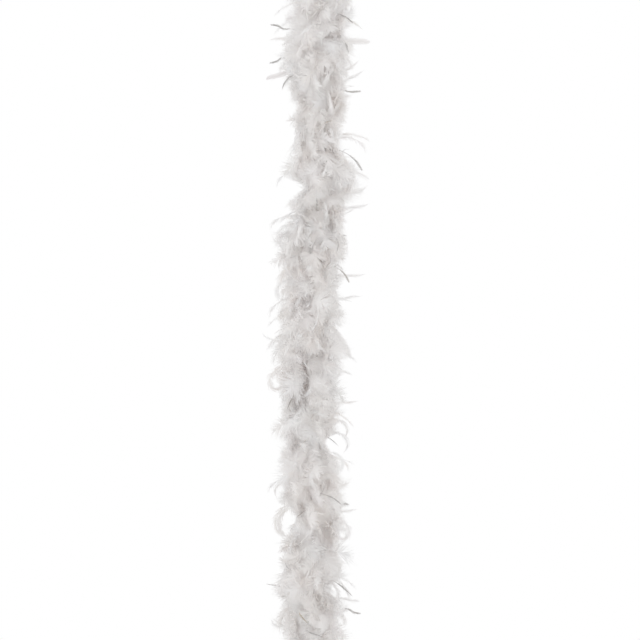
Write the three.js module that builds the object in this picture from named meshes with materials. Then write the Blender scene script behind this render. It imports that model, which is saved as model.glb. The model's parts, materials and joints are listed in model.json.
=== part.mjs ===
// Feather boa: feathers gripped by two twisted strands of cotton cord, which hang from a loop
// at the top and end in a knot. Millimetres, +Z up. The origin is the inside top of the hang
// loop, where a hook bears, and the boa hangs straight down from it.
//
// The boa bends anywhere along its core. Here the core is cut into equal lengths, each with its
// own tuft of feathers, and each length turns on the one above it about a level axis. The axes
// go round by a quarter turn from one joint to the next.

import * as THREE from 'three';

// Overall sizes
const featheredLength = 1728; // the part of the core that carries feathers
const lengthCount = 16; // flexible lengths in it
const bodyRadius = 58; // where most of the feathers end
const tipRadius = 90; // where the longest feathers end
const bendLimit = 40; // degrees each way between two lengths

// Core cord
const strandDiameter = 2;
const strandGap = 0.4; // between the two strands
const strandSides = 8;
const stepsPerTurn = 8;
const turnsPerLength = 1;

// Gaps between pieces that touch or turn on each other
const seatGap = 0.3;
const boreGap = 0.4; // round the core inside a tuft or a whipping
const bendGap = 0.8; // kept at the closest point when a joint is bent to its limit

// Feathers: each tuft is a sleeve of quill butts with drooping skirts of feathers
const sleeveWall = 1.8;
const quillThickness = 5; // of a skirt where it leaves the sleeve
const tipThickness = 3.2; // of a skirt at its rim
const tuftSides = 12;
const skirtLift = 9; // of the middle skirt's root above the middle of the length
const skirts = [
  { rimRadius: bodyRadius, droop: 9 },
  { rimRadius: tipRadius, droop: 12 },
  { rimRadius: bodyRadius, droop: 10 },
]; // from the top down

// Hang loop and its whipping
const loopHalfWidth = 9;
const loopWideDepth = 8.5; // from the bearing point down to the widest part
const loopNeckDepth = 21; // down to where the two legs come together
const whippingHeight = 8;
const whippingWall = 1.1;
const loopLead = 2; // of bare core between a whipping and the feathers
const whippingSides = 12;
const loopSteps = 28;

// End knot and tails
const knotRadius = 5.2;
const knotHeight = 10;
const knotSides = 10;
const tailLength = 27;
const tailSplay = 4; // sideways, at the tip
const tailSteps = 5;

// Worked out from the sizes above
const strandRadius = strandDiameter / 2;
const strandOffset = (strandDiameter + strandGap) / 2;
const pitch = featheredLength / lengthCount;
const skirtSpacing = (0.64 * pitch) / skirts.length;
const halfBend = THREE.MathUtils.degToRad(bendLimit / 2);
const coreReach = strandOffset + strandRadius;
const boreRadius = coreReach + boreGap;
const sleeveRadius = boreRadius + sleeveWall;
const loopJointZ = -(loopNeckDepth + seatGap + whippingHeight + loopLead);
const featherEndZ = loopJointZ - featheredLength;
const endWhippingTopZ = featherEndZ - loopLead;
const knotTopZ = endWhippingTopZ - whippingHeight - seatGap;
const knotBottomZ = knotTopZ - knotHeight;

const cotton = new THREE.MeshStandardMaterial({ color: 0xe9e5dc, roughness: 0.9, metalness: 0 });
const thread = new THREE.MeshStandardMaterial({ color: 0xf2efe8, roughness: 0.7, metalness: 0 });
const feather = new THREE.MeshStandardMaterial({ color: 0xe3dfdc, roughness: 0.8, metalness: 0 });

const boa = new THREE.Group();

function add(name, geometry, material, z = 0) {
  const mesh = new THREE.Mesh(geometry, material);
  mesh.name = name;
  mesh.position.z = z;
  boa.add(mesh);
}

// How far a point at this radius keeps from the level of a joint, so that the two sides stay
// apart when the joint is bent to its limit.
function clearOfJoint(radius) {
  return radius * Math.tan(halfBend) + bendGap / 2;
}

function circleShape(radius, sides) {
  const shape = new THREE.Shape();
  for (let i = 0; i < sides; i++) {
    const angle = (i / sides) * 2 * Math.PI;
    const x = radius * Math.cos(angle);
    const y = radius * Math.sin(angle);
    if (i === 0) {
      shape.moveTo(x, y);
    } else {
      shape.lineTo(x, y);
    }
  }
  shape.closePath();
  return shape;
}

function cordAlong(path, steps) {
  const section = circleShape(strandRadius, strandSides);
  return new THREE.ExtrudeGeometry(section, { steps, extrudePath: path, bevelEnabled: false });
}

// A solid of revolution about Z, from [radius, height] corners listed from the top down.
function turned(corners, sides) {
  const profile = corners.map(([radius, height]) => new THREE.Vector2(radius, height));
  profile.reverse();
  const geometry = new THREE.LatheGeometry(profile, sides);
  return geometry.rotateX(Math.PI / 2);
}

// One strand of the core, wound round the axis from topZ down to bottomZ.
class TwistedStrand extends THREE.Curve {
  constructor(topZ, bottomZ, turns, startAngle) {
    super();
    Object.assign(this, { topZ, bottomZ, turns, startAngle });
  }

  getPoint(t, target = new THREE.Vector3()) {
    const angle = this.startAngle + t * this.turns * 2 * Math.PI;
    return target.set(
      strandOffset * Math.cos(angle),
      strandOffset * Math.sin(angle),
      THREE.MathUtils.lerp(this.topZ, this.bottomZ, t),
    );
  }
}

function ring(innerRadius, outerRadius, height, sides) {
  return turned([
    [innerRadius, height / 2],
    [outerRadius, height / 2],
    [outerRadius, -height / 2],
    [innerRadius, -height / 2],
    [innerRadius, height / 2],
  ], sides);
}

function tuft() {
  const sleeveEnd = pitch / 2 - clearOfJoint(sleeveRadius);
  const corners = [[boreRadius, sleeveEnd], [sleeveRadius, sleeveEnd]];
  skirts.forEach(({ rimRadius, droop }, i) => {
    const rootHeight = skirtLift + ((skirts.length - 1) / 2 - i) * skirtSpacing;
    corners.push(
      [sleeveRadius, rootHeight + quillThickness / 2],
      [rimRadius, rootHeight - droop + tipThickness / 2],
      [rimRadius, rootHeight - droop - tipThickness / 2],
      [sleeveRadius, rootHeight - quillThickness / 2],
    );
  });
  corners.push([sleeveRadius, -sleeveEnd], [boreRadius, -sleeveEnd], [boreRadius, sleeveEnd]);
  return turned(corners, tuftSides);
}

function hangLoop() {
  const legEndZ = loopJointZ + clearOfJoint(coreReach);
  const halfPath = [
    [strandOffset, legEndZ],
    [strandOffset, (legEndZ - loopNeckDepth) / 2],
    [strandOffset, -loopNeckDepth],
    [loopHalfWidth * 0.66, -(loopNeckDepth + loopWideDepth) / 2],
    [loopHalfWidth, -loopWideDepth],
    [loopHalfWidth * 0.7, -loopWideDepth * 0.22],
  ];
  const right = halfPath.map(([x, z]) => new THREE.Vector3(x, 0, z));
  const left = halfPath.map(([x, z]) => new THREE.Vector3(-x, 0, z)).reverse();
  const top = new THREE.Vector3(0, 0, strandRadius);
  const path = new THREE.CatmullRomCurve3([...right, top, ...left], false, 'centripetal');
  return cordAlong(path, loopSteps);
}

function tail(side) {
  const topZ = knotBottomZ - seatGap;
  const path = new THREE.CatmullRomCurve3([
    new THREE.Vector3(side * strandOffset, 0, topZ),
    new THREE.Vector3(side * strandOffset * 1.1, 0, topZ - tailLength * 0.3),
    new THREE.Vector3(side * (strandOffset + tailSplay * 0.6), 0, topZ - tailLength * 0.7),
    new THREE.Vector3(side * (strandOffset + tailSplay), 0, topZ - tailLength),
  ]);
  return cordAlong(path, tailSteps);
}

function knot() {
  const shoulder = knotRadius * 0.65;
  const waist = knotHeight * 0.22;
  return turned([
    [0, knotHeight / 2],
    [shoulder, knotHeight / 2],
    [knotRadius, waist],
    [knotRadius, -waist],
    [shoulder, -knotHeight / 2],
    [0, -knotHeight / 2],
  ], knotSides);
}

const whipping = ring(boreRadius, boreRadius + whippingWall, whippingHeight, whippingSides);

add('hang_loop', hangLoop(), cotton);
add('loop_whipping', whipping, thread, -loopNeckDepth - seatGap - whippingHeight / 2);

for (let i = 0; i < lengthCount; i++) {
  const number = String(i + 1).padStart(2, '0');
  const upperJointZ = loopJointZ - i * pitch;
  const last = i === lengthCount - 1;
  const topZ = upperJointZ - clearOfJoint(coreReach);
  const bottomZ = last ? knotTopZ + seatGap : upperJointZ - pitch + clearOfJoint(coreReach);
  const steps = stepsPerTurn * turnsPerLength;
  for (const [letter, startAngle] of [['a', 0], ['b', Math.PI]]) {
    const path = new TwistedStrand(topZ, bottomZ, turnsPerLength, startAngle);
    add(`core_strand_${letter}_${number}`, cordAlong(path, steps), cotton);
  }
  add(`feather_tuft_${number}`, tuft(), feather, upperJointZ - pitch / 2);
}

add('end_whipping', whipping, thread, endWhippingTopZ - whippingHeight / 2);
add('end_knot', knot(), cotton, (knotTopZ + knotBottomZ) / 2);
add('tail_a', tail(1), cotton);
add('tail_b', tail(-1), cotton);

export default boa;
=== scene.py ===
"""A white feather boa that hangs from the loop at its top end.

Two strands of cotton cord are twisted together and grip the quills of some 2700 soft
feathers. Metres, +Z up, with the inside top of the hang loop at the origin.
"""

import json
import math
import random

import bmesh
import bpy
import numpy as np
from mathutils import Matrix, Vector

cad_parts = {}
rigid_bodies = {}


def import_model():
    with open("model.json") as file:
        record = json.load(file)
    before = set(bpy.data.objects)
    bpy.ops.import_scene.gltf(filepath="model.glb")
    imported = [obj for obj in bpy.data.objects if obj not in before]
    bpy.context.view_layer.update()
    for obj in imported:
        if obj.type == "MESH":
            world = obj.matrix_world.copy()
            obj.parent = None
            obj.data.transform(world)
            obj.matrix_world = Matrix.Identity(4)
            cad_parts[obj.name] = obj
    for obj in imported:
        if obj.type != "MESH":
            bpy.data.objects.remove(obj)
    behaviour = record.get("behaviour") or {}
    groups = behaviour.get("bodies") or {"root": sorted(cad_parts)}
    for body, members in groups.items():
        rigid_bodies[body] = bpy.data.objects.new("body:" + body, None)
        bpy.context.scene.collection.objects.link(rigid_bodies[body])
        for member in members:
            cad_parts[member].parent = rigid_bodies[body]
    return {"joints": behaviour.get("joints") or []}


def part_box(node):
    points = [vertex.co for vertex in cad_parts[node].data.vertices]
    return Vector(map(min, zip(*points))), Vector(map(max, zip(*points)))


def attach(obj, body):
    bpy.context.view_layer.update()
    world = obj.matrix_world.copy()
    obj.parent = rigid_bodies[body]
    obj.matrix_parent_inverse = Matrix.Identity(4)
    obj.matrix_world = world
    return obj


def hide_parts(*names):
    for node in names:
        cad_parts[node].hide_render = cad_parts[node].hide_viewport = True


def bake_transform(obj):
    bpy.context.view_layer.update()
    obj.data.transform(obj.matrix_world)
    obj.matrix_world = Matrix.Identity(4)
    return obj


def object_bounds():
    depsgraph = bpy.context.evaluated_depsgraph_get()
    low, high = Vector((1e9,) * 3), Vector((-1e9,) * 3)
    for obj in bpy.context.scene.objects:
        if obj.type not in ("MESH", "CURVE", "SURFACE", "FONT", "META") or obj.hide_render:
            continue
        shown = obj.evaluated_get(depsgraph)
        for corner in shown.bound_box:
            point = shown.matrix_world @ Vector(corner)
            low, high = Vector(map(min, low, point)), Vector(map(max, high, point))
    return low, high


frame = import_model()
cad_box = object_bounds()

MM = 0.001
FULL_TURN = 2 * math.pi

# ---------------------------------------------------------------- where things are

joints = frame["joints"]
joint_heights = [joint["pos_m"][2] for joint in joints]
length_bodies = [joint["child"] for joint in joints]
loop_body = joints[0]["parent"]
pitch = joint_heights[0] - joint_heights[1]
middles = [height - pitch / 2 for height in joint_heights]
feather_top = joint_heights[0] - 2 * MM
feather_bottom = joint_heights[-1] - pitch + 2 * MM
boa_middle = (cad_box[0].z + cad_box[1].z) / 2
core_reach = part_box("core_strand_a_01")[1].x
tip_reach = cad_box[1].x

loop_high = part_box("hang_loop")[1]
upper_whipping_low, upper_whipping_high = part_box("loop_whipping")
lower_whipping_low, lower_whipping_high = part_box("end_whipping")
knot_low, knot_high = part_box("end_knot")
tail_low, tail_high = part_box("tail_a")
strand_radius = tail_high.y
strand_offset = core_reach - strand_radius
loop_leg_end = upper_whipping_low.z + 3 * MM  # where the loop's legs meet the twisted core

# ---------------------------------------------------------------- camera

view_height = 1216 * MM  # of boa in the frame
camera_distance = 4.0
camera_shift = 9.7 * MM  # to the right of the boa
camera_roll = math.radians(-1.0)
camera_data = bpy.data.cameras.new("camera")
camera_data.sensor_width = 36
camera_data.lens = camera_data.sensor_width * camera_distance / view_height
camera = bpy.data.objects.new("camera", camera_data)
camera.location = (camera_shift, -camera_distance, boa_middle)
camera.rotation_euler = (math.radians(90), camera_roll, 0)
bpy.context.scene.collection.objects.link(camera)
bpy.context.scene.camera = camera


# ---------------------------------------------------------------- studio


def add_floor(radius, gap):
    """A round pale floor, a gap below the boa's lower end."""
    mesh = bpy.data.meshes.new("floor")
    bm = bmesh.new()
    bmesh.ops.create_circle(bm, cap_ends=True, segments=96, radius=radius)
    bmesh.ops.translate(bm, verts=bm.verts, vec=(0, 0, cad_box[0].z - gap))
    bm.to_mesh(mesh)
    bm.free()
    material = bpy.data.materials.new("pale_floor")
    material.use_nodes = True
    surface = material.node_tree.nodes["Principled BSDF"]
    surface.inputs["Base Color"].default_value = (0.86, 0.86, 0.86, 1)
    surface.inputs["Roughness"].default_value = 0.9
    mesh.materials.append(material)
    floor = bpy.data.objects.new("floor", mesh)
    bpy.context.scene.collection.objects.link(floor)


def add_sky(lighting, backdrop):
    """White all round: one strength lights the boa, the other is what the camera sees behind it."""
    world = bpy.data.worlds.new("white_studio")
    world.use_nodes = True
    bpy.context.scene.world = world
    tree = world.node_tree
    soft = tree.nodes["Background"]
    soft.inputs["Color"].default_value = (1, 1, 1, 1)
    soft.inputs["Strength"].default_value = lighting
    behind = tree.nodes.new("ShaderNodeBackground")
    behind.inputs["Color"].default_value = (1, 1, 1, 1)
    behind.inputs["Strength"].default_value = backdrop
    path = tree.nodes.new("ShaderNodeLightPath")
    mix = tree.nodes.new("ShaderNodeMixShader")
    tree.links.new(path.outputs["Is Camera Ray"], mix.inputs["Fac"])
    tree.links.new(soft.outputs["Background"], mix.inputs[1])
    tree.links.new(behind.outputs["Background"], mix.inputs[2])
    tree.links.new(mix.outputs["Shader"], tree.nodes["World Output"].inputs["Surface"])


def add_softbox(name, place, size, power, colour):
    """A square soft light that faces the middle of the boa."""
    light = bpy.data.lights.new(name, "AREA")
    light.size = size
    light.energy = power
    light.color = colour
    lamp = bpy.data.objects.new(name, light)
    lamp.location = place
    aim = Vector((0, 0, boa_middle)) - lamp.location
    lamp.rotation_euler = aim.to_track_quat("-Z", "Y").to_euler()
    bpy.context.scene.collection.objects.link(lamp)


add_floor(radius=1.5, gap=0.12)
add_sky(lighting=0.935, backdrop=1.0)
add_softbox("cool_softbox", (-2.4, -2.2, boa_middle + 0.3), size=2.0, power=7, colour=(0.93, 0.97, 1.0))
add_softbox("warm_softbox", (2.6, -1.6, boa_middle - 0.2), size=2.0, power=2.5, colour=(1.0, 0.93, 0.86))
bpy.context.scene.view_settings.view_transform = "Standard"

# Light passes through and between white feathers many times before it leaves them.
bpy.context.scene.cycles.diffuse_bounces = 32
bpy.context.scene.cycles.transmission_bounces = 32
bpy.context.scene.cycles.max_bounces = 64

# ---------------------------------------------------------------- materials

FEATHER_MAP = "OFBake"  # across a feather's tile in U, from root to tip in V
TILES = 8  # along each side of the map: a feather fills one tile, and each tile has its own tint


def node(tree, kind, links=None, **values):
    """A shader node with its settings, its input values and what feeds it."""
    made = tree.nodes.new(kind)
    for name, value in values.items():
        if hasattr(made, name):
            setattr(made, name, value)
        else:
            made.inputs[name.replace("_", " ")].default_value = value
    for name, source in (links or {}).items():
        tree.links.new(source, made.inputs[name])
    return made


def ramp(tree, source, stops):
    """Colours along a value, from (place, colour) stops."""
    made = tree.nodes.new("ShaderNodeValToRGB")
    tree.links.new(source, made.inputs["Fac"])
    while len(made.color_ramp.elements) < len(stops):
        made.color_ramp.elements.new(0.5)
    for element, (place, colour) in zip(made.color_ramp.elements, stops):
        element.position = place
        element.color = (*colour, 1)
    return made.outputs["Color"]


def tinted(tree, first, second):
    """Two colours multiplied."""
    mix = node(tree, "ShaderNodeMix", data_type="RGBA", blend_type="MULTIPLY")
    mix.inputs["Factor"].default_value = 1
    tree.links.new(first, mix.inputs["A"])
    tree.links.new(second, mix.inputs["B"])
    return mix.outputs["Result"]


def stretched(tree, source, scale):
    """Texture coordinates scaled differently along each axis."""
    made = node(tree, "ShaderNodeVectorMath", operation="MULTIPLY", links={0: source})
    made.inputs[1].default_value = scale
    return made.outputs[0]


def new_material(name):
    material = bpy.data.materials.new(name)
    material.use_nodes = True
    return material, material.node_tree, material.node_tree.nodes["Principled BSDF"]


def feather_places(tree):
    """The feather's own map, which tile it is in, and its place within that tile."""
    places = node(tree, "ShaderNodeUVMap", uv_map=FEATHER_MAP).outputs["UV"]
    spread = stretched(tree, places, (TILES, TILES, 1))
    tile = node(tree, "ShaderNodeVectorMath", operation="FLOOR", links={0: spread})
    within = node(tree, "ShaderNodeVectorMath", operation="FRACTION", links={0: spread})
    return places, tile.outputs[0], within.outputs[0]


def feather_vane():
    """Barbs: white with a faint tint for each feather, streaked along the barbs, half see-through."""
    material, tree, surface = new_material("feather_vane")
    places, tile, within = feather_places(tree)
    chance = node(tree, "ShaderNodeTexWhiteNoise", noise_dimensions="2D", links={"Vector": tile})
    tint = ramp(tree, chance.outputs["Value"], [
        (0.0, (0.979, 0.969, 0.964)),
        (0.25, (0.980, 0.973, 0.970)),
        (0.5, (0.976, 0.972, 0.970)),
        (0.75, (0.971, 0.972, 0.974)),
        (1.0, (0.980, 0.971, 0.972)),
    ])
    streaks = node(tree, "ShaderNodeTexNoise", noise_dimensions="2D", Scale=1.0, Detail=2.0,
                   links={"Vector": stretched(tree, places, (900, 40, 1))})
    streak_shade = ramp(tree, streaks.outputs[0], [
        (0.3, (0.975, 0.974, 0.973)),
        (0.65, (1.0, 1.0, 1.0)),
    ])
    along = node(tree, "ShaderNodeSeparateXYZ", links={"Vector": within})
    root_shade = ramp(tree, along.outputs["Y"], [
        (0.0, (0.98, 0.972, 0.964)),
        (0.35, (1.0, 0.999, 0.998)),
        (1.0, (1.0, 1.0, 1.0)),
    ])
    colour = tinted(tree, tinted(tree, tint, streak_shade), root_shade)
    bump = node(tree, "ShaderNodeBump", Strength=0.35, Distance=0.15 * MM,
                links={"Height": streaks.outputs[0]})
    tree.links.new(colour, surface.inputs["Base Color"])
    tree.links.new(bump.outputs["Normal"], surface.inputs["Normal"])
    surface.inputs["Roughness"].default_value = 0.8
    surface.inputs["Specular IOR Level"].default_value = 0.2
    surface.inputs["Sheen Weight"].default_value = 0.1
    through = node(tree, "ShaderNodeBsdfTranslucent", links={"Color": colour})
    mix = node(tree, "ShaderNodeMixShader")
    mix.inputs["Fac"].default_value = 0.6
    tree.links.new(surface.outputs["BSDF"], mix.inputs[1])
    tree.links.new(through.outputs["BSDF"], mix.inputs[2])
    tree.links.new(mix.outputs["Shader"], tree.nodes["Material Output"].inputs["Surface"])
    return material


def feather_quill(name, root, base, middle, tip):
    """Horn: a colour for the root and three along the shaft, with a faint grain."""
    material, tree, surface = new_material(name)
    places, _, within = feather_places(tree)
    along = node(tree, "ShaderNodeSeparateXYZ", links={"Vector": within})
    colour = ramp(tree, along.outputs["Y"], [
        (0.0, root),
        (0.15, base),
        (0.5, middle),
        (1.0, tip),
    ])
    grain = node(tree, "ShaderNodeTexNoise", noise_dimensions="2D", Scale=1.0, Detail=2.0,
                 links={"Vector": stretched(tree, places, (500, 900, 1))})
    grain_shade = ramp(tree, grain.outputs[0], [(0.3, (0.9, 0.89, 0.87)), (0.7, (1.0, 1.0, 1.0))])
    bump = node(tree, "ShaderNodeBump", Strength=0.3, Distance=0.08 * MM,
                links={"Height": grain.outputs[0]})
    tree.links.new(tinted(tree, colour, grain_shade), surface.inputs["Base Color"])
    tree.links.new(bump.outputs["Normal"], surface.inputs["Normal"])
    surface.inputs["Roughness"].default_value = 0.38
    return material


def spun_fibre(name, pale, dark, roughness, sheen, fibre_scale):
    """Cotton yarn or thread: fine fibres, with slow changes of tone along it."""
    material, tree, surface = new_material(name)
    places = node(tree, "ShaderNodeTexCoord").outputs["Object"]
    fibres = node(tree, "ShaderNodeTexNoise", Scale=1.0, Detail=3.0, Roughness=0.6,
                  links={"Vector": stretched(tree, places, (fibre_scale, fibre_scale, fibre_scale / 3))})
    slow = node(tree, "ShaderNodeTexNoise", Scale=90.0, Detail=1.0, links={"Vector": places})
    fibre_shade = ramp(tree, fibres.outputs[0], [(0.32, dark), (0.62, pale)])
    slow_shade = ramp(tree, slow.outputs[0], [(0.3, (0.94, 0.93, 0.90)), (0.7, (1.0, 1.0, 1.0))])
    bump = node(tree, "ShaderNodeBump", Strength=0.5, Distance=0.12 * MM,
                links={"Height": fibres.outputs[0]})
    tree.links.new(tinted(tree, fibre_shade, slow_shade), surface.inputs["Base Color"])
    tree.links.new(bump.outputs["Normal"], surface.inputs["Normal"])
    surface.inputs["Roughness"].default_value = roughness
    surface.inputs["Specular IOR Level"].default_value = 0.25
    surface.inputs["Sheen Weight"].default_value = sheen
    return material


vane_material = feather_vane()
pale_horn = feather_quill("pale_horn", (0.90, 0.86, 0.78), (0.90, 0.88, 0.85), (0.84, 0.83, 0.82),
                         (0.88, 0.87, 0.86))
grey_horn = feather_quill("grey_horn", (0.64, 0.57, 0.48), (0.58, 0.55, 0.52), (0.50, 0.485, 0.48),
                         (0.60, 0.585, 0.58))
cotton_material = spun_fibre("cotton_cord", (0.86, 0.84, 0.79), (0.66, 0.63, 0.57), 0.92, 0.3, 2600)
thread_material = spun_fibre("waxed_thread", (0.88, 0.87, 0.83), (0.70, 0.68, 0.64), 0.6, 0.1, 4200)


def new_piece(name, mesh):
    """A piece of the boa from its finished mesh."""
    made = bpy.data.objects.new(name, mesh)
    bpy.context.scene.collection.objects.link(made)
    return made


# ---------------------------------------------------------------- cords

PLY_RELIEF = 0.1  # half the depth of the grooves between a cord's plies, as a share of its radius
NO_TWIST = 0.0001  # all but straight


def smooth_path(points, steps=8):
    """A smooth path through points."""
    ends = [2 * points[0] - points[1], *points, 2 * points[-1] - points[-2]]
    path = []
    for before, start, stop, after in zip(ends, ends[1:], ends[2:], ends[3:]):
        for i in range(steps):
            t = i / steps
            straight = 2 * start + (stop - before) * t
            curved = (2 * before - 5 * start + 4 * stop - after) * t ** 2
            turned = (3 * start - before - 3 * stop + after) * t ** 3
            path.append((straight + curved + turned) / 2)
    return [*path, points[-1]]


def path_length(path):
    return sum((stop - start).length for start, stop in zip(path, path[1:]))


def lay_along(verts, path):
    """Moves what stands straight up +Z from the origin so that it follows a path."""
    points = np.array([tuple(point) for point in path])
    lengths = np.concatenate([[0], np.cumsum(np.linalg.norm(np.diff(points, axis=0), axis=1))])
    ahead = np.gradient(points, lengths, axis=0)
    ahead /= np.linalg.norm(ahead, axis=1)[:, None]
    sides = [np.cross(ahead[0], (0.0, 1.0, 0.01))]
    for direction in ahead:
        side = sides[-1] - direction * sides[-1].dot(direction)
        sides.append(side / np.linalg.norm(side))
    sides = np.array(sides[1:])
    fronts = np.cross(ahead, sides)
    places = np.array([tuple(vert.co) for vert in verts])

    def at(values):
        return np.stack([np.interp(places[:, 2], lengths, values[:, axis]) for axis in range(3)], 1)

    laid = at(points) + at(sides) * places[:, :1] + at(fronts) * places[:, 1:2]
    for vert, place in zip(verts, laid):
        vert.co = place


def add_cord(bm, path, radius, plies=3, lay_length=7 * MM, steps_per_lay=8):
    """One cord along a path, of plies twisted together, with a closed end at each end."""
    length = path_length(path)
    section = bmesh.ops.create_circle(bm, segments=4 * plies if plies > 1 else 6, radius=radius)["verts"]
    if plies > 1:
        for vert in section:
            turn = math.atan2(vert.co.y, vert.co.x)
            vert.co *= 1 - PLY_RELIEF + PLY_RELIEF * math.cos(plies * turn)
    rim = list({edge for vert in section for edge in vert.link_edges})
    steps = max(2, round(steps_per_lay * length / lay_length))
    known = set(bm.verts) - set(section)
    twist = FULL_TURN * length / lay_length if plies > 1 else NO_TWIST
    bmesh.ops.spin(bm, geom=section + rim, cent=(0, 0, 0), axis=(0, 0, 1), dvec=(0, 0, length / steps),
                   angle=twist, steps=steps, use_duplicate=False)
    made = [vert for vert in bm.verts if vert not in known]
    open_edges = [edge for vert in made for edge in vert.link_edges if edge.is_boundary]
    bmesh.ops.holes_fill(bm, edges=list(set(open_edges)), sides=0)
    lay_along(made, path)


def cord_piece(name, paths, radius, material, slot, **laying):
    """One piece made of one or more cords."""
    bm = bmesh.new()
    for path in paths:
        add_cord(bm, path, radius, **laying)
    return finish_cords(name, bm, material)


def finish_cords(name, bm, material):
    bmesh.ops.recalc_face_normals(bm, faces=bm.faces)
    for face in bm.faces:
        face.smooth = len(face.verts) == 4
    mesh = bpy.data.meshes.new(name)
    bm.to_mesh(mesh)
    bm.free()
    mesh.materials.append(material)
    return new_piece(name, mesh)


def core_path(side, top, bottom):
    """A strand of the core, wound round the other one once in each length."""
    point_spacing = 4 * MM
    count = max(3, round((top - bottom) / point_spacing))
    path = []
    for i in range(count + 1):
        height = top + (bottom - top) * i / count
        turn = FULL_TURN * (joint_heights[0] - height) / pitch
        place = Vector((math.cos(turn), math.sin(turn), 0)) * strand_offset * side
        path.append(place + Vector((0, 0, height)))
    return path


def lay_core():
    """Each strand in a piece from each length's middle to the next, like the feathers."""
    stops = [loop_leg_end, *middles, knot_high.z - 1 * MM]
    for letter, side in (("a", 1), ("b", -1)):
        for i, (top, bottom) in enumerate(zip(stops, stops[1:])):
            strand = cord_piece(f"cotton_strand_{letter}_{i:02d}", [core_path(side, top, bottom)],
                                strand_radius, cotton_material, "core_cord")
            if i == 0:
                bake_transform(strand)
            elif i == len(middles):
                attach(strand, length_bodies[-1])
            else:
                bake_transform(strand)
            if i > 0:
                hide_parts(f"core_strand_{letter}_{i:02d}")


def hang_loop():
    """The core's own cord, turned back on itself above the whipping."""
    neck = upper_whipping_high.z
    half_width = loop_high.x - strand_radius
    widest = 0.41 * neck  # the height of its widest part
    right = [Vector((x, 0, z)) for x, z in (
        (strand_offset, loop_leg_end),
        (strand_offset, (upper_whipping_low.z + neck) / 2),
        (strand_offset, neck),
        (0.66 * half_width, (neck + widest) / 2),
        (half_width, widest),
        (0.7 * half_width, 0.22 * widest),
    )]
    left = [Vector((-point.x, 0, point.z)) for point in reversed(right)]
    path = smooth_path([*right, Vector((0, 0, strand_radius)), *left])
    loop = cord_piece("cotton_loop", [path], strand_radius, cotton_material, "core_cord")
    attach(loop, loop_body)
    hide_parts("hang_loop")


def whipping(name, low, high, replaced, body):
    """Thread wound tightly round the two strands, with its end left standing."""
    thread_radius = 0.36 * MM
    slack = 0.45 * MM  # where the thread crosses the strands' flat side
    across = core_reach + thread_radius
    through = strand_radius + slack + thread_radius
    turn_spacing = 2.05 * thread_radius
    turns = (high - low - 2 * thread_radius) / turn_spacing
    steps_per_turn = 20
    steps = round(turns * steps_per_turn)
    path = []
    for i in range(steps + 1):
        turn = FULL_TURN * turns * i / steps
        path.append(Vector((across * math.cos(turn), through * math.sin(turn),
                            low + thread_radius + (high - low - 2 * thread_radius) * i / steps)))
    end = path[-1]
    path += smooth_path([end + Vector((-0.3, 0.5, 0.3)) * MM, end + Vector((0.3, 1.2, 0.9)) * MM,
                         end + Vector((1.1, 1.4, 2.2)) * MM], 4)
    wound = cord_piece(name, [path], thread_radius, thread_material, "binding_thread", plies=1,
                       lay_length=6 * MM, steps_per_lay=8)
    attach(wound, body)
    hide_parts(replaced)


def end_knot():
    """Both strands wrapped round themselves together and tucked down through the middle."""
    centre = (knot_low.z + knot_high.z) / 2
    reach = knot_high.x - 1.25 * strand_radius
    wraps, wrap_steps = 1.4, 12
    wrap_rise = 5.2 * MM  # from the first wrap to the last
    paths = []
    for side in (1, -1):
        stack = side * 1.05 * strand_radius
        points = [Vector((side * strand_offset, 0, knot_high.z + 1 * MM)),
                  Vector((0.8 * side * strand_offset, 0, centre + 1.5 * MM)),
                  Vector((0.6 * side * strand_offset, 0.9 * MM, centre - 2 * MM))]
        for i in range(wrap_steps + 1):
            turn = FULL_TURN * (wraps * i / wrap_steps + 0.2)
            height = centre + (i / wrap_steps - 0.5) * wrap_rise + stack
            points.append(Vector((reach * math.cos(turn), reach * math.sin(turn), height)))
        points += [Vector((-1.4 * MM, side * 0.9 * MM, centre + 2.2 * MM)),
                   Vector((-0.5 * MM, side * 0.9 * MM, centre - 1 * MM)),
                   Vector((side * strand_offset, 0, knot_low.z - 0.5 * MM))]
        paths.append(smooth_path(points, 5))
    knot = cord_piece("tied_knot", paths, strand_radius, cotton_material, "core_cord")
    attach(knot, length_bodies[-1])
    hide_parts("end_knot")


def tail(letter, side):
    """The strand below the knot, frayed at its tip."""
    rng = random.Random(40 + side)
    splay = tail_high.x - core_reach
    top, tip = knot_low.z + 1 * MM, tail_low.z
    fray = 7 * MM
    fibres = 26
    fibre_radius = 0.13 * MM
    path = smooth_path([Vector((side * (strand_offset + splay * out), 0, top + (tip - top) * down))
                        for out, down in ((0, 0), (0.05, 0.3), (0.6, 0.7), (0.9, 0.9))], 6)
    bm = bmesh.new()
    add_cord(bm, path, strand_radius)
    end = path[-1]
    for _ in range(fibres):
        start = end + Vector((rng.gauss(0, 0.4), rng.gauss(0, 0.4), rng.uniform(0, 3))) * MM
        spread = Vector((rng.gauss(0, 0.9), rng.gauss(0, 1.0), 0)) * MM
        stop = Vector((end.x, end.y, tip)) + spread + Vector((0, 0, rng.uniform(0, 0.5) * fray))
        bend = start.lerp(stop, 0.5) + Vector((rng.gauss(0, 0.5), rng.gauss(0, 0.5), 0)) * MM
        add_cord(bm, smooth_path([start, bend, stop], 2), fibre_radius, plies=1, lay_length=8 * MM,
                 steps_per_lay=5)
    frayed = finish_cords(f"frayed_tail_{letter}", bm, cotton_material)
    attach(frayed, length_bodies[-1])
    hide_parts(f"tail_{letter}")


lay_core()
hang_loop()
whipping("upper_thread", upper_whipping_low.z, upper_whipping_high.z, "loop_whipping", loop_body)
whipping("lower_thread", lower_whipping_low.z, lower_whipping_high.z, "end_whipping", length_bodies[-1])
end_knot()
tail("a", 1)
tail("b", -1)

# ---------------------------------------------------------------- feather patterns

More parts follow.
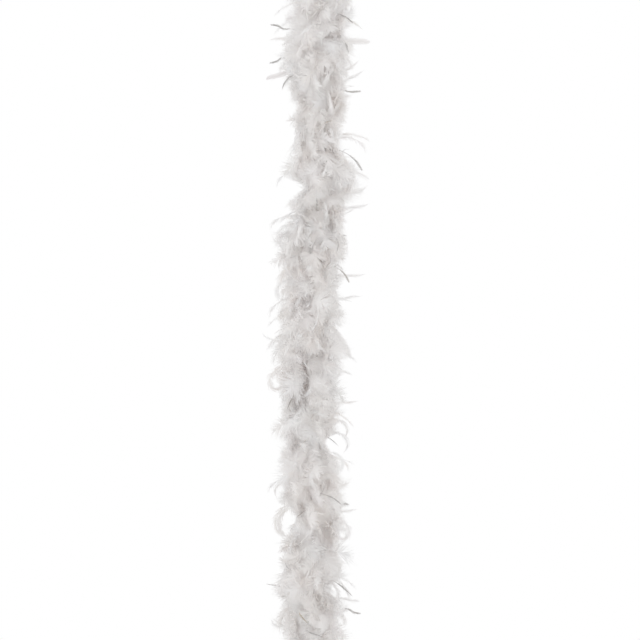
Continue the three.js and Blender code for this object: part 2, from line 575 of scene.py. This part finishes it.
FEATHER_MATERIALS = (vane_material, pale_horn, grey_horn)
PALE_HORN, GREY_HORN = 1, 2  # places in that list

VANE_START, VANE_TURN = 34, 143  # degrees round the vane's oval, from its first barb to its last
SPLIT_CHANCE = 0.16  # that a vane splits after a barb
RIPPLE = 5 * MM  # of shaft for each radian of a wavy feather
TIP_SHARE = 0.04  # of its width that a barb has left at its tip


def give_materials(mesh):
    """A mesh of feathers takes all three materials, in their order."""
    for material in FEATHER_MATERIALS:
        mesh.materials.append(material)


def blade(bm, layer, segments, shape, mapped):
    """A thin strip. shape(side, along) places its points, with side from -1 to 1 and along from
    0 to 1, and mapped(side, along) gives their place on the feather's map."""
    made = bmesh.ops.create_grid(bm, x_segments=1, y_segments=segments, size=0.5)
    for vert in made["verts"]:
        side, along = 2 * vert.co.x, vert.co.y + 0.5
        for corner in vert.link_loops:
            corner[layer].uv = mapped(side, along)
        vert.co = shape(side, along)


def barb(bm, layer, rng, root, tip, side, width, cup=0.0, bow=0.0, wave=0.0, lift=0.0, segments=3,
         fullness=0.4, lane=0.5, map_root=0.5, map_tip=0.8):
    """One barb of the flat feather, from root to tip and bowed towards the feather's tip. It keeps
    its width for the share that fullness gives, then tapers away to a point."""
    phase = rng.uniform(0, FULL_TURN)
    reach = tip - root
    length = reach.length
    out = reach.normalized()
    across = Vector((-out.y, out.x, 0)) * side

    def shape(edge, along):
        taper = max(0, (along - fullness) / (1 - fullness))
        half = width / 2 * (1 - (1 - TIP_SHARE) * taper)
        ripple = wave * math.sin(phase + along * 7.5) * along - bow * length * along * (1 - along)
        middle = root + reach * along + across * ripple
        middle.z += lift * length * along - cup * length * along * along
        middle.z += 0.6 * wave * math.cos(1.7 * phase + along * 6) * along
        return middle + across * (edge * half) + Vector((0, 0, -edge * half * 0.3))

    def mapped(edge, along):
        return (lane + 0.006 * edge, map_root + (map_tip - map_root) * along)

    blade(bm, layer, segments, shape, mapped)


def shaft(bm, layer, length, root_width, tip_width, cuts=9):
    """The quill, made before the barbs: a tapered rod along +Y."""
    held = 2 * MM  # of its root, inside the core
    turned_to_y = Matrix.Translation((0, length / 2 - held, 0)) @ Matrix.Rotation(-math.pi / 2, 4, "X")
    bmesh.ops.create_cone(bm, segments=4, radius1=root_width / 2, radius2=tip_width / 2,
                          depth=length, cap_ends=True, matrix=turned_to_y)
    long_edges = [edge for edge in bm.edges if edge.calc_length() > length / 2]
    bmesh.ops.subdivide_edges(bm, edges=long_edges, cuts=cuts)
    for face in bm.faces:
        face.material_index = PALE_HORN
        for corner in face.loops:
            x, y, z = corner.vert.co
            corner[layer].uv = (0.5 + 0.02 * x / root_width, min(0.98, max(0.02, y / length)))


def curl_round(bm, length, bend, power, arc, twist, wavy):
    """Bends a straight feather: its shaft turns by bend towards -Z and by arc to one side, its vane
    twists round it, and it may be wavy."""
    stations = np.linspace(-0.05 * length, 1.35 * length, 64)
    share = np.clip(stations / length, 0, 1)
    frames = np.array([
        Matrix.Rotation(arc * part ** power, 3, "Z") @ Matrix.Rotation(-bend * part ** power, 3, "X")
        @ Matrix.Rotation(-twist * part, 3, "Y") for part in share])
    steps = frames[:-1, :, 1] * np.diff(stations)[:, None]
    centres = np.concatenate([[[0, stations[0], 0]], [[0, stations[0], 0]] + np.cumsum(steps, axis=0)])
    x, y, z = np.array([tuple(vert.co) for vert in bm.verts]).T
    x = x + wavy * np.sin(y / RIPPLE)

    def at(values):
        return np.stack([np.interp(y, stations, column) for column in values.T], 1)

    places = at(centres) + at(frames[:, :, 0]) * x[:, None] + at(frames[:, :, 2]) * z[:, None]
    for vert, place in zip(bm.verts, places):
        vert.co = place


def feather(name, seed, length, half_width, bend, power=1.0, arc=0.0, twist=0.0, wavy=0.0, vane_from=0.32,
            vane_barbs=48, barb_width=1.25 * MM, barb_segments=3, edge_hairs=26, down_barbs=5,
            down_length=24 * MM, cup=0.1, quill_width=0.9 * MM, quill_cuts=9, shaft_share=0.86,
            gaps=0.04, ragged=0.16, frizz=0.0, dark=False):
    """One feather, its root at the origin, growing along +Y and curling towards -Z. The ends of its
    barbs follow an oval round the vane, and fine hairs stand out past them. The vane begins at the
    share vane_from of the length, and the shaft ends at shaft_share. Ragged is how unequal the barbs
    are, gaps how far the vane parts where it splits, and frizz how far each barb strays from the
    vane. Dark makes the feather grey, barbs and all."""
    rng = random.Random(seed)
    bm = bmesh.new()
    layer = bm.loops.layers.uv.new(FEATHER_MAP)
    shaft(bm, layer, length * shaft_share, quill_width, 0.25 * quill_width, quill_cuts)
    oval_middle = length * (1 + vane_from) / 2 + 3 * MM
    oval_half = length - oval_middle

    def on_shaft(share):
        return Vector((0, length * (vane_from + (shaft_share - vane_from) * share), 0))

    def on_oval(share, grown, side):
        turn = math.radians(VANE_START + VANE_TURN * share)
        return Vector((side * half_width * grown * math.sin(turn),
                       oval_middle - oval_half * grown * math.cos(turn), 0))

    for side in (-1, 1):
        parted = 0.0
        for i in range(vane_barbs):
            share = i / (vane_barbs - 1)
            if rng.random() < SPLIT_CHANCE:
                parted = rng.gauss(0, gaps)
            tip = on_oval(min(1, max(0, share + parted)), rng.uniform(1 - ragged, 1 + ragged), side)
            barb(bm, layer, rng, on_shaft(share), tip, side, barb_width,
                 cup + rng.gauss(0, 0.5) * frizz, bow=0.12 + rng.gauss(0, 0.5) * frizz,
                 wave=3 * frizz * MM, lift=rng.gauss(0, 0.5) * frizz, segments=barb_segments,
                 lane=0.5 + side * (0.04 + 0.42 * share),
                 map_root=0.3 + 0.4 * share, map_tip=0.6 + 0.38 * share)
        for i in range(edge_hairs):
            share = (i + rng.random()) / edge_hairs
            tip = on_oval(share, rng.uniform(1.08, 1.48), side)
            root = on_shaft(share).lerp(tip, 0.45)
            root.z -= cup * 0.2 * tip.length
            barb(bm, layer, rng, root, tip, side, 0.6 * MM, cup * rng.uniform(-2, 4),
                 bow=rng.uniform(-0.4, 0.6), wave=1.6 * MM, segments=4, fullness=0.2,
                 lane=0.5 + side * (0.04 + 0.42 * share), map_root=0.7, map_tip=0.97)
        for i in range(down_barbs):
            share = i / down_barbs
            angle = math.radians(rng.uniform(48, 96))
            root = Vector((0, length * (0.06 + (vane_from - 0.02) * share), 0))
            reach = Vector((side * math.sin(angle), math.cos(angle), 0)) * down_length
            barb(bm, layer, rng, root, root + reach * rng.uniform(0.6, 1.15), side, 0.8 * MM,
                 rng.uniform(-0.3, 0.5), bow=rng.uniform(-0.1, 0.4), wave=1.6 * MM,
                 lift=rng.uniform(-0.35, 0.35), segments=4, fullness=0.3,
                 lane=0.5 + side * rng.uniform(0.04, 0.46), map_root=0.1 + 0.2 * share, map_tip=0.5)
    curl_round(bm, length, bend, power, arc, twist, wavy)
    mesh = bpy.data.meshes.new(name)
    give_materials(mesh)
    for face in bm.faces:
        face.smooth = True
        if dark:
            face.material_index = GREY_HORN
    bm.to_mesh(mesh)
    bm.free()
    return mesh


def body_feathers():
    """Broad rounded feathers that curl round the boa and make its surface."""
    rng = random.Random(11)
    return [feather(
        f"body_feather_{i}", 100 + i, length=rng.uniform(76, 90) * MM,
        half_width=rng.uniform(21, 27) * MM, bend=math.radians(rng.uniform(80, 135)),
        power=rng.uniform(0.8, 1.2), arc=rng.uniform(-0.4, 0.4), twist=rng.uniform(-0.3, 0.3),
        frizz=0.18, ragged=0.24, gaps=0.07, barb_width=1.2 * MM, edge_hairs=20,
    ) for i in range(14)]


def under_feathers():
    """Short broad feathers close in, which fill the boa behind the others."""
    rng = random.Random(12)
    return [feather(
        f"under_feather_{i}", 200 + i, length=rng.uniform(56, 66) * MM,
        half_width=rng.uniform(18, 23) * MM, bend=math.radians(rng.uniform(80, 130)), power=0.8,
        arc=rng.uniform(-0.3, 0.3), twist=rng.uniform(-0.3, 0.3), vane_barbs=24,
        barb_width=2.0 * MM, barb_segments=2, edge_hairs=0, down_barbs=0, quill_cuts=4,
        frizz=0.25, ragged=0.26, gaps=0.08,
    ) for i in range(8)]


def loose_feathers():
    """Longer, narrower feathers with open barbs that stand out from the body."""
    rng = random.Random(13)
    return [feather(
        f"loose_feather_{i}", 300 + i, length=rng.uniform(82, 98) * MM,
        half_width=rng.uniform(9, 13) * MM, bend=math.radians(rng.uniform(15, 70)),
        power=rng.uniform(1.0, 2.0), arc=rng.uniform(-0.9, 0.9), twist=rng.uniform(-0.9, 0.9),
        gaps=0.12, ragged=0.2, vane_barbs=24, barb_width=1.1 * MM, edge_hairs=14, down_barbs=6,
    ) for i in range(6)]


def down_plumes():
    """Plumes of loose down that fill the boa between its feathers."""
    rng = random.Random(14)
    return [feather(
        f"down_plume_{i}", 400 + i, length=rng.uniform(50, 60) * MM, half_width=18 * MM,
        bend=math.radians(rng.uniform(10, 70)), arc=rng.uniform(-0.6, 0.6), vane_from=0.5,
        vane_barbs=18, barb_width=0.9 * MM, edge_hairs=10, down_barbs=16, down_length=27 * MM,
        quill_width=0.7 * MM, gaps=0.1, ragged=0.3, frizz=0.6,
    ) for i in range(6)]


def open_plumes():
    """Narrow feathers that stand clear of the boa, from nearly straight to hooked."""
    rng = random.Random(15)
    return [feather(
        f"open_plume_{i}", 500 + i, length=rng.uniform(94, 104) * MM, half_width=rng.uniform(4, 6) * MM,
        bend=math.radians(rng.uniform(8, 25)), arc=math.radians(arc), power=power,
        twist=rng.uniform(-0.4, 0.4), vane_from=0.4, vane_barbs=26, barb_width=1.0 * MM,
        edge_hairs=6, down_barbs=4, gaps=0.2, ragged=0.35, barb_segments=3, frizz=0.3,
        quill_width=1.1 * MM, shaft_share=0.96,
    ) for i, (arc, power) in enumerate(((25, 1.2), (60, 1.6), (105, 2.2), (150, 2.4), (150, 1.7)))]


def ring_curls():
    """Feathers whose tip curls into a ring."""
    rng = random.Random(16)
    return [feather(
        f"ring_curl_{i}", 600 + i, length=rng.uniform(122, 132) * MM, half_width=rng.uniform(5, 7) * MM,
        bend=0.3, arc=math.radians(arc), power=3.0, twist=rng.uniform(-0.3, 0.3), vane_from=0.4,
        vane_barbs=40, barb_width=1.0 * MM, edge_hairs=10, down_barbs=4, gaps=0.12, ragged=0.25,
        quill_cuts=24, cup=0.0, quill_width=1.1 * MM, shaft_share=0.95,
    ) for i, arc in enumerate((250, 290, 330))]


def bare_quills():
    """Thin dark quills with few barbs left, one of each shape: bowed, curved, wavy and hooked over."""
    rng = random.Random(17)
    return [feather(
        f"bare_quill_{i}", 700 + i, length=98 * MM, half_width=2.5 * MM, bend=bend,
        arc=math.radians(arc), power=1.6, wavy=wavy * MM, twist=rng.uniform(-0.3, 0.3),
        vane_from=0.6, vane_barbs=12, barb_width=0.8 * MM, edge_hairs=0, down_barbs=3, gaps=0.2,
        ragged=0.4, shaft_share=0.97, quill_width=1.7 * MM, dark=True,
    ) for i, (arc, wavy, bend) in enumerate(((28, 0, 0.15), (70, 0, 0.15), (20, 1.6, 0.15), (12, 0, 1.7)))]


def dark_plumes():
    """Grey feathers with their barbs well apart: one hooked over and one nearly straight."""
    return [feather(
        f"dark_plume_{i}", 900 + i, length=100 * MM, half_width=8 * MM, bend=bend, power=1.3,
        arc=0.1, vane_from=0.5, vane_barbs=13, barb_width=1.3 * MM, edge_hairs=0, down_barbs=0,
        gaps=0.03, ragged=0.1, shaft_share=0.9, quill_width=1.6 * MM, dark=True,
    ) for i, bend in enumerate((1.75, 0.4))]


def long_strips():
    """Long feathers with close, even barbs: a narrow one that bows and a broader straight one."""
    rng = random.Random(18)
    return [feather(
        f"long_strip_{i}", 800 + i, length=112 * MM, half_width=half_width * MM, bend=0.1,
        arc=math.radians(arc), power=1.3, twist=rng.uniform(-0.2, 0.2), vane_from=0.4,
        vane_barbs=56, barb_width=1.4 * MM, edge_hairs=6, down_barbs=4, gaps=0.02, ragged=0.1,
        shaft_share=0.98, quill_width=1.2 * MM,
    ) for i, (half_width, arc) in enumerate(((4.5, 34), (8, 8)))]


PATTERNS = {
    "body": body_feathers(),
    "under": under_feathers(),
    "loose": loose_feathers(),
    "down": down_plumes(),
    "open": open_plumes(),
    "ring": ring_curls(),
    "quill": bare_quills(),
    "dark": dark_plumes(),
    "strip": long_strips(),
}

# ---------------------------------------------------------------- how the plumage varies

# At even steps from the top of the feathers to the bottom: how far the plumage leans to the right,
# in millimetres, and how full it is.
PLUMAGE = (
    (2, 0.95), (-5, 1.02), (6, 1.08), (2, 0.98),
    (-2, 0.97), (-9, 1.16), (2, 0.92), (-5, 0.94), (12, 1.16), (1, 0.97), (-11, 1.12), (-6, 0.97),
    (-14, 1.10), (-10, 1.10), (-7, 1.06), (-5, 0.98), (0, 1.04), (3, 1.0), (1, 1.10), (0, 1.0),
    (5, 1.05), (-5, 0.98), (3, 1.04), (0, 0.92),
)
OVERALL_FULLNESS = 0.91
leans = np.array([lean for lean, _ in PLUMAGE]) * MM
fullnesses = np.array([full for _, full in PLUMAGE]) * OVERALL_FULLNESS
plumage_heights = np.linspace(feather_top, feather_bottom, len(PLUMAGE))

# Bare places where the plumage lies close: millimetres above the boa's middle, azimuth, depth and
# half the height in millimetres.
HOLLOWS = (
    (250, 180, 0.55, 15), (-236, -4, 0.72, 15), (-376, 180, 0.62, 22), (-511, 0, 0.72, 14),
    (345, 172, 0.35, 24), (-150, 168, 0.25, 24), (330, 4, 0.25, 24), (60, 6, 0.3, 20),
    (110, 95, 0.5, 24), (-420, 70, 0.5, 24), (560, 110, 0.4, 24),
)
HOLLOW_HALF_ANGLE = 0.8  # radians round the boa, to each side of a hollow's middle

QUILL_BUNDLE = 12 * MM  # from the core's axis, within which nothing of this shows
FADE_IN = 30 * MM  # further out than that, over which it comes in fully


def at_height(heights, values):
    """Values between the plumage's steps, for heights that run downwards."""
    return np.interp(-heights, -plumage_heights, values)


def fluff_out(points):
    """Shapes ordinary feathers: fuller or thinner, closer in the hollows, and leaning. Their lean
    towards the back takes the steps of PLUMAGE from the bottom up."""
    reach = np.linalg.norm(points[:, :2], axis=1)
    outer = np.clip((reach - QUILL_BUNDLE) / FADE_IN, 0, 1)
    outer = outer * outer * (3 - 2 * outer)  # eased in and out
    heights = points[:, 2]
    azimuths = np.arctan2(points[:, 1], points[:, 0])
    scale = 1 + (at_height(heights, fullnesses) - 1) * outer
    for above, azimuth, depth, half_height in HOLLOWS:
        off = np.angle(np.exp(1j * (azimuths - math.radians(azimuth)))) / HOLLOW_HALF_ANGLE
        away = (heights - boa_middle - above * MM) / (half_height * MM)
        scale *= 1 - depth * outer * np.exp(-off * off - away * away)
    points[:, :2] *= scale[:, None]
    points[:, 0] += at_height(heights, leans) * outer
    points[:, 1] += at_height(heights, leans[::-1]) * outer


def hold_in(points):
    """Draws in what reaches past the longest tips, softly, so that no feather leaves the boa's size."""
    reach = np.linalg.norm(points[:, :2], axis=1)
    slack = 0.15 * tip_reach
    past = np.maximum(reach - tip_reach, 0)
    held = np.minimum(reach, tip_reach) + slack * (1 - np.exp(-past / slack))
    points[:, :2] *= (held / np.maximum(reach, 1e-9))[:, None]


# ---------------------------------------------------------------- laying the feathers on the core

ROOT_DEPTH = 0.6  # how far from the core's axis the quills are held, as a share of its reach
GOLDEN_TURN = math.radians(137.5)  # round the core from one feather to the next
TURN_SPREAD = 0.25  # radians
MEAN_RISE = -0.05  # radians above level
FALL_SPREAD = 1.1  # radians by which broad feathers turn from curling straight down
END_REACH = 50 * MM  # from each end, where feathers lean away from the loop or the knot
END_LEAN = 0.35  # radians


def growth(azimuth, rise, height, fall, size):
    """Where a feather grows: out from the core at an azimuth, rising above level, with its tip
    curling downwards, or turned from that by fall."""
    outward = Vector((math.cos(azimuth), math.sin(azimuth), 0))
    along = outward * math.cos(rise) + Vector((0, 0, math.sin(rise)))
    down = Vector((0, 0, -1))
    down = (down - along * down.dot(along)).normalized()
    curl = Matrix.Rotation(fall, 3, along) @ down
    across = along.cross(-curl)
    turned = Matrix((across, along, -curl)).transposed() * size
    place = turned.to_4x4()
    place.translation = outward * core_reach * ROOT_DEPTH + Vector((0, 0, height))
    return place


def plant(bm, pattern, place, rng, fluffed=True):
    """Adds one copy of a feather pattern, with a tile of the map of its own."""
    mesh = pattern.copy()
    mesh.transform(place)
    points = np.empty(3 * len(mesh.vertices), np.float32)
    mesh.vertices.foreach_get("co", points)
    points = points.reshape(-1, 3)
    if fluffed:
        fluff_out(points)
    hold_in(points)
    mesh.vertices.foreach_set("co", points.ravel())
    layer = mesh.uv_layers[FEATHER_MAP]
    places = np.empty(2 * len(layer.uv), np.float32)
    layer.uv.foreach_get("vector", places)
    places = (places.reshape(-1, 2) + (rng.randrange(TILES), rng.randrange(TILES))) / TILES
    layer.uv.foreach_set("vector", places.astype(np.float32).ravel())
    bm.from_mesh(mesh)
    bpy.data.meshes.remove(mesh)


# Kinds of feather: how many to a length, how much their rise varies in radians, and their sizes.
KINDS = (
    ("under", 60, 0.35, (1.0, 1.3)),
    ("down", 26, 0.40, (0.95, 1.25)),
    ("body", 58, 0.32, (0.82, 1.12)),
    ("loose", 9, 0.35, (0.8, 1.0)),
    ("open", 6, 0.35, (0.8, 0.95)),
    ("ring", 3, 0.35, (0.7, 0.9)),
    ("quill", 2, 0.4, (0.6, 0.8)),
)

# Single feathers that stand out: kind, which pattern, millimetres above the boa's middle,
# azimuth, rise, fall and size. Azimuth 0 is the right, 180 the left and -90 the front. A fall of
# -90 turns the vane to the front and back and arcs it down, and 90 arcs it up.
ACCENTS = (
    ("strip", 0, 508, 182, -40, 85, 1.1),
    ("strip", 1, 528, -4, 4, -80, 0.86),
    ("quill", 2, 548, 178, 0, 90, 0.95),
    ("quill", 2, 508, 184, -6, -80, 0.98),
    ("open", 1, 572, 176, 6, -90, 0.9),
    ("open", 0, 590, -8, -14, -90, 0.85),
    ("quill", 1, 470, -6, -48, 90, 0.95),
    ("open", 0, 440, 8, 14, 80, 0.9),
    ("open", 0, 446, 2, 26, 70, 0.85),
    ("open", 2, 330, -8, 26, -85, 1.0),
    ("open", 1, 342, 6, 20, -100, 0.98),
    ("quill", 1, 330, 2, -4, -90, 1.05),
    ("open", 0, 226, 4, 6, 90, 0.98),
    ("open", 0, 212, -6, -4, 80, 0.95),
    ("quill", 1, 186, -4, -14, -90, 0.76),
    ("open", 2, 176, 184, 30, -95, 0.95),
    ("open", 3, 166, 178, 26, -80, 0.92),
    ("ring", 0, 78, 194, 2, -90, 0.95),
    ("open", 0, 92, -2, -14, 90, 0.88),
    ("strip", 1, 30, -10, -52, -90, 1.1),
    ("open", 2, 30, 180, 16, -90, 0.98),
    ("open", 1, 14, 176, 4, -100, 0.96),
    ("open", 1, -4, 186, -8, -80, 0.94),
    ("quill", 0, 16, 192, -38, -90, 0.95),
    ("ring", 1, -84, 192, 0, -90, 1.14),
    ("open", 0, -156, 0, -4, 60, 0.8),
    ("open", 1, -172, 8, 2, -90, 0.78),
    ("open", 3, -196, -6, 18, -90, 0.86),
    ("ring", 0, -250, -32, 4, -85, 0.84),
    ("open", 2, -272, -16, 24, -90, 0.8),
    ("open", 2, -318, 186, 26, -90, 0.9),
    ("open", 3, -326, 180, 30, -95, 0.9),
    ("loose", 1, -342, -6, 6, -60, 0.85),
    ("ring", 1, -372, -10, 0, -90, 0.98),
    ("quill", 0, -500, 186, -12, 90, 0.82),
    ("quill", 0, -478, -4, -18, -90, 0.9),
    ("open", 0, -520, 2, -10, 40, 0.98),
    ("open", 1, -490, -10, 14, -90, 0.88),
    ("quill", 2, -545, 6, 0, -80, 1.0),
    ("quill", 3, 250, -93, 4, 0, 0.86),
    ("dark", 0, 172, -94, 0, -10, 0.92),
    ("quill", 3, 160, -42, 10, -30, 0.92),
    ("quill", 1, 110, -14, -6, -90, 0.84),
    ("quill", 3, -124, -128, 0, -20, 0.88),
    ("dark", 1, -30, -14, -22, 0, 0.75),
    ("dark", 1, -210, -24, -18, -40, 0.62),
    ("dark", 1, -350, -16, 4, 60, 0.72),
    ("dark", 0, 470, -150, 10, -30, 0.9),
    ("quill", 3, 590, -50, -10, 60, 0.8),
    ("quill", 3, -330, -70, 10, 50, 0.85),
    ("open", 4, -346, 182, 2, -90, 1.14),
    ("open", 4, -352, 178, 0, -95, 1.06),
    ("open", 4, -344, 186, -4, -85, 1.1),
    ("open", 3, -215, 2, 10, -90, 0.9),
    ("open", 2, -492, 2, 4, -90, 0.9),
    ("open", 2, 270, 184, 20, -90, 0.85),
    ("quill", 1, 560, -8, -20, -90, 0.85),
    ("quill", 3, -548, -126, 4, 60, 0.9),
    ("quill", 3, -582, -106, -4, 78, 0.82),
    ("open", 4, -494, 0, 6, -90, 0.86),
    ("open", 0, 524, 186, 16, -90, 0.9),
    ("open", 1, 600, 182, 10, -80, 0.86),
    ("open", 0, 20, -6, 30, -80, 0.86),
    ("open", 1, -60, -10, 10, -95, 0.84),
)


def feather_span(name, top, bottom, seed):
    """The feathers that grow between two heights on the core."""
    rng = random.Random(seed)
    share = (top - bottom) / pitch
    bm = bmesh.new()
    turn = rng.uniform(0, FULL_TURN)
    for kind, per_length, rise_spread, (least, most) in KINDS:
        count = round(per_length * share)
        for i in range(count):
            turn += GOLDEN_TURN + rng.gauss(0, TURN_SPREAD)
            height = top + (bottom - top) * (i + rng.random()) / count
            near_loop = max(0, 1 - (feather_top - height) / END_REACH)
            near_knot = max(0, 1 - (height - feather_bottom) / END_REACH)
            rise = rng.gauss(MEAN_RISE, rise_spread) * (1 - 0.5 * near_loop - 0.5 * near_knot)
            rise += END_LEAN * near_knot - END_LEAN * near_loop
            broad = kind in ("body", "under")
            fall = rng.gauss(0, FALL_SPREAD) if broad else rng.uniform(-math.pi, math.pi)
            place = growth(turn, rise, height, fall, rng.uniform(least, most))
            plant(bm, rng.choice(PATTERNS[kind]), place, rng)
    for kind, pattern, above, azimuth, rise, fall, size in ACCENTS:
        height = boa_middle + above * MM
        if bottom <= height < top:
            place = growth(math.radians(azimuth), math.radians(rise), height, math.radians(fall), size)
            plant(bm, PATTERNS[kind][pattern], place, rng, fluffed=False)
    mesh = bpy.data.meshes.new(name)
    bm.to_mesh(mesh)
    bm.free()
    give_materials(mesh)
    return new_piece(name, mesh)


def lay_feathers():
    """One piece from each length's middle to the next, so that each piece spans no more than one joint."""
    stops = [feather_top, *middles, feather_bottom]
    for i, (top, bottom) in enumerate(zip(stops, stops[1:])):
        span = feather_span(f"feathers_{i:02d}", top, bottom, seed=1000 + i)
        if i == 0:
            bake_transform(span)
        elif i == len(middles):
            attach(span, length_bodies[-1])
        else:
            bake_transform(span)
        if i > 0:
            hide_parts(f"feather_tuft_{i:02d}")


lay_feathers()
